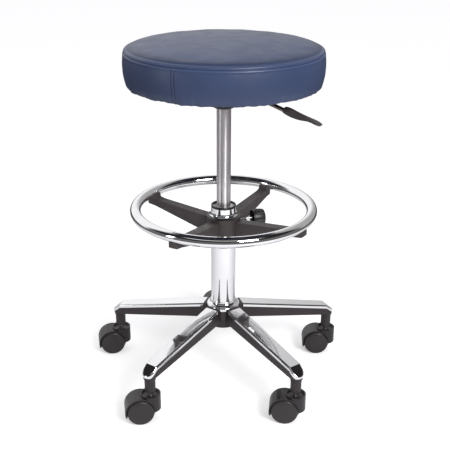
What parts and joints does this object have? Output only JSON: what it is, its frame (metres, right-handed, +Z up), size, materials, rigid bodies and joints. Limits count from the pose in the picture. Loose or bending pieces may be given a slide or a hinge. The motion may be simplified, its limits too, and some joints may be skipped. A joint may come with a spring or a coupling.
{
  "type": "adjustable swivel stool",
  "caption": "Round padded swivel stool with a gas-lift column, side lever, sliding chrome foot ring and five-star base on twin-wheel casters.",
  "frame": {"origin": "on the floor, on the axis of the column", "axes": "+Z up along the column; -Y is the front of the stool, +X is its right as seen from the front"},
  "size_m": [0.5259, 0.4837, 0.703],
  "materials": {
    "black_nylon": "moulded, fine grain",
    "chrome": "bright mirror plating",
    "satin_chrome": "ground and plated, slightly satin",
    "white_acetal": "smooth, self-lubricating",
    "hard_steel": "ground",
    "black_steel": "black powder coat",
    "zinc_steel": "zinc plated",
    "aluminium": "machined",
    "rubber": "moulded",
    "grip_plastic": "moulded, fine grain",
    "plywood": "raw birch plywood",
    "foam": "open-cell seat foam",
    "navy_vinyl": "grained upholstery vinyl, semi-matt",
    "black_cloth": "thin non-woven lining",
    "grey_nylon": "moulded glass-filled nylon, fine grain",
    "black_plastic": "moulded",
    "caster_plastic": "moulded, fine grain",
    "wheel_plastic": "moulded, fine grain"
  },
  "bodies": {
    "base": {"star_base": "black_nylon", "arm_cover_1": "chrome", "arm_cover_2": "chrome", "arm_cover_3": "chrome", "arm_cover_4": "chrome", "arm_cover_5": "chrome", "hub_collar": "chrome", "column_tube": "chrome", "guide_bush": "white_acetal", "bearing_lower_race": "hard_steel", "caster_stems": "zinc_steel"},
    "lift_rod": {"piston_rod": "hard_steel", "piston": "aluminium", "piston_seal": "rubber", "retaining_clip": "hard_steel", "bearing_upper_race": "hard_steel", "bearing_balls": "hard_steel", "rubber_bumper": "rubber"},
    "seat": {"gas_cylinder": "satin_chrome", "cylinder_gland": "aluminium", "taper_socket": "black_steel", "seat_plate": "black_steel", "lever_pin": "black_steel", "seat_board": "plywood", "foam_pad": "foam", "seat_cover": "navy_vinyl", "tee_nuts": "zinc_steel", "plate_bolts": "zinc_steel", "base_cloth": "black_cloth"},
    "release_button": {"release_button": "hard_steel"},
    "lever": {"lever_rod": "black_steel", "lever_paddle": "grip_plastic"},
    "ring_carrier": {"ring_bush": "black_plastic", "ring_trim": "chrome"},
    "foot_ring": {"foot_ring": "chrome", "ring_spider": "grey_nylon", "ring_screws": "zinc_steel"},
    "clamp_pad": {"clamp_pad": "white_acetal"},
    "clamp_knob": {"clamp_knob": "black_plastic", "clamp_screw": "zinc_steel"},
    "caster_1": {"caster_hood_1": "caster_plastic", "caster_axle_1": "zinc_steel"},
    "wheel_left_1": {"wheel_left_1": "wheel_plastic"},
    "wheel_right_1": {"wheel_right_1": "wheel_plastic"},
    "caster_2": {"caster_hood_2": "caster_plastic", "caster_axle_2": "zinc_steel"},
    "wheel_left_2": {"wheel_left_2": "wheel_plastic"},
    "wheel_right_2": {"wheel_right_2": "wheel_plastic"},
    "caster_3": {"caster_hood_3": "caster_plastic", "caster_axle_3": "zinc_steel"},
    "wheel_left_3": {"wheel_left_3": "wheel_plastic"},
    "wheel_right_3": {"wheel_right_3": "wheel_plastic"},
    "caster_4": {"caster_hood_4": "caster_plastic", "caster_axle_4": "zinc_steel"},
    "wheel_left_4": {"wheel_left_4": "wheel_plastic"},
    "wheel_right_4": {"wheel_right_4": "wheel_plastic"},
    "caster_5": {"caster_hood_5": "caster_plastic", "caster_axle_5": "zinc_steel"},
    "wheel_left_5": {"wheel_left_5": "wheel_plastic"},
    "wheel_right_5": {"wheel_right_5": "wheel_plastic"}
  },
  "joints": [
    {"name": "seat_swivel", "type": "hinge", "parent": "base", "child": "lift_rod", "pos_m": [0, 0, 0.118], "axis": [0, 0, 1], "continuous": true},
    {"name": "seat_height", "type": "slide", "parent": "lift_rod", "child": "seat", "axis": [0, 0, 1], "range_m": [-0.18, 0]},
    {"name": "lever_lift", "type": "hinge", "parent": "seat", "child": "lever", "pos_m": [0.02771, -0.016, 0.603], "axis": [-0.5, -0.866, 0], "range_deg": [0, 6.3], "stiffness_Nm_per_rad": 20},
    {"name": "button_press", "type": "slide", "parent": "seat", "child": "release_button", "axis": [0, 0, -1], "range_m": [0, 0.00352]},
    {"name": "ring_height", "type": "slide", "parent": "base", "child": "ring_carrier", "axis": [0, 0, 1], "range_m": [-0.12, 0]},
    {"name": "ring_turn", "type": "hinge", "parent": "ring_carrier", "child": "foot_ring", "pos_m": [0, 0, 0.33], "axis": [0, 0, 1], "continuous": true},
    {"name": "clamp_travel", "type": "slide", "parent": "foot_ring", "child": "clamp_pad", "axis": [0.9511, 0.309, 0], "range_m": [0, 0.0015]},
    {"name": "knob_turn", "type": "hinge", "parent": "clamp_pad", "child": "clamp_knob", "pos_m": [0.03234, 0.01051, 0.338], "axis": [0.9511, 0.309, 0], "range_deg": [0, 360]},
    {"name": "caster_swivel_1", "type": "hinge", "parent": "base", "child": "caster_1", "pos_m": [0.22635, 0.07355, 0.047], "axis": [0, 0, 1], "continuous": true},
    {"name": "wheel_spin_left_1", "type": "hinge", "parent": "caster_1", "child": "wheel_left_1", "pos_m": [0.20637, 0.07442, 0.026], "axis": [0.0436, 0.999, 0], "continuous": true},
    {"name": "wheel_spin_right_1", "type": "hinge", "parent": "caster_1", "child": "wheel_right_1", "pos_m": [0.20637, 0.07442, 0.026], "axis": [0.0436, 0.999, 0], "continuous": true},
    {"name": "caster_swivel_2", "type": "hinge", "parent": "base", "child": "caster_2", "pos_m": [0, 0.238, 0.047], "axis": [0, 0, 1], "continuous": true},
    {"name": "wheel_spin_left_2", "type": "hinge", "parent": "caster_2", "child": "wheel_left_2", "pos_m": [-0.02, 0.238, 0.026], "axis": [0, 1, 0], "continuous": true},
    {"name": "wheel_spin_right_2", "type": "hinge", "parent": "caster_2", "child": "wheel_right_2", "pos_m": [-0.02, 0.238, 0.026], "axis": [0, 1, 0], "continuous": true},
    {"name": "caster_swivel_3", "type": "hinge", "parent": "base", "child": "caster_3", "pos_m": [-0.22635, 0.07355, 0.047], "axis": [0, 0, 1], "continuous": true},
    {"name": "wheel_spin_left_3", "type": "hinge", "parent": "caster_3", "child": "wheel_left_3", "pos_m": [-0.246, 0.06983, 0.026], "axis": [-0.1857, 0.9826, 0], "continuous": true},
    {"name": "wheel_spin_right_3", "type": "hinge", "parent": "caster_3", "child": "wheel_right_3", "pos_m": [-0.246, 0.06983, 0.026], "axis": [-0.1857, 0.9826, 0], "continuous": true},
    {"name": "caster_swivel_4", "type": "hinge", "parent": "base", "child": "caster_4", "pos_m": [-0.13989, -0.19255, 0.047], "axis": [0, 0, 1], "continuous": true},
    {"name": "wheel_spin_left_4", "type": "hinge", "parent": "caster_4", "child": "wheel_left_4", "pos_m": [-0.15965, -0.19567, 0.026], "axis": [-0.1564, 0.9877, 0], "continuous": true},
    {"name": "wheel_spin_right_4", "type": "hinge", "parent": "caster_4", "child": "wheel_right_4", "pos_m": [-0.15965, -0.19567, 0.026], "axis": [-0.1564, 0.9877, 0], "continuous": true},
    {"name": "caster_swivel_5", "type": "hinge", "parent": "base", "child": "caster_5", "pos_m": [0.13989, -0.19255, 0.047], "axis": [0, 0, 1], "continuous": true},
    {"name": "wheel_spin_left_5", "type": "hinge", "parent": "caster_5", "child": "wheel_left_5", "pos_m": [0.12, -0.19046, 0.026], "axis": [0.1045, 0.9945, 0], "continuous": true},
    {"name": "wheel_spin_right_5", "type": "hinge", "parent": "caster_5", "child": "wheel_right_5", "pos_m": [0.12, -0.19046, 0.026], "axis": [0.1045, 0.9945, 0], "continuous": true}
  ],
  "couplings": [
    {"joint": "lever_lift", "follows": "button_press", "rad_per_m": 31.25},
    {"joint": "knob_turn", "follows": "clamp_travel", "rad_per_m": 4188.8}
  ]
}
